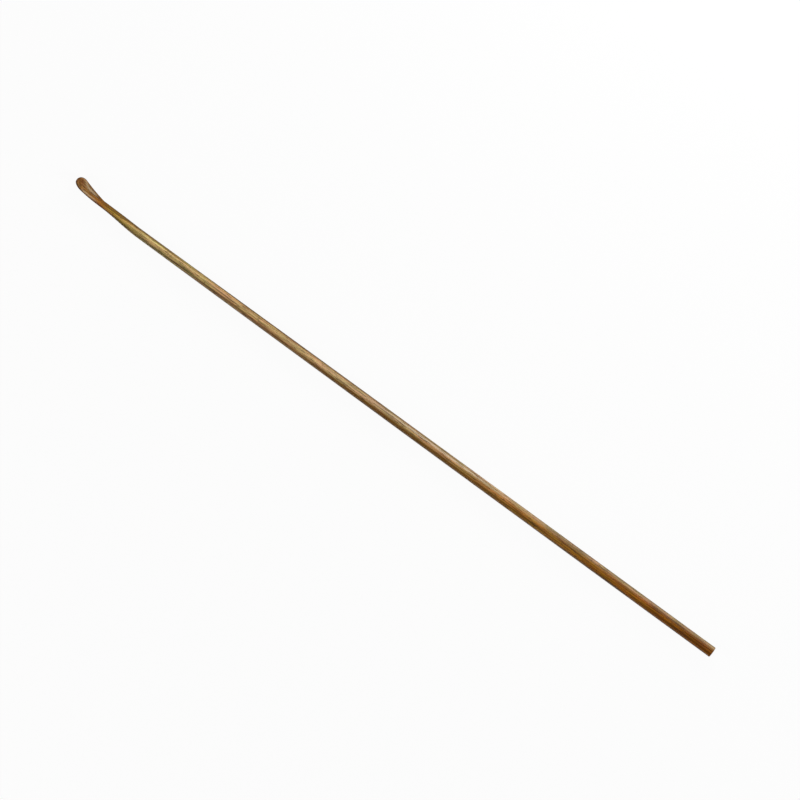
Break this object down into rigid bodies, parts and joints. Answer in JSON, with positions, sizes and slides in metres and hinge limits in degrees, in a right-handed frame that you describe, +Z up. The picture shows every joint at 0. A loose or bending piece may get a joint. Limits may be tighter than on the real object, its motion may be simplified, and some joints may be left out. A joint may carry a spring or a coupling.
{
  "type": "ear pick",
  "caption": "Slim one-piece wooden ear pick: a round tapering stick with a shaved neck and a small bent scoop with a gouged hollow, lying at rest.",
  "frame": {"origin": "on the floor under the middle of the pick's bounding box, as it lies at rest", "axes": "+X along the stick from the square butt to the scoop, +Z up from the floor, -Y the side the scoop bends to"},
  "size_m": [0.173, 0.004, 0.0032],
  "materials": {
    "wood": "satin"
  },
  "bodies": {
    "root": {"ear_pick": "wood"}
  },
  "joints": []
}
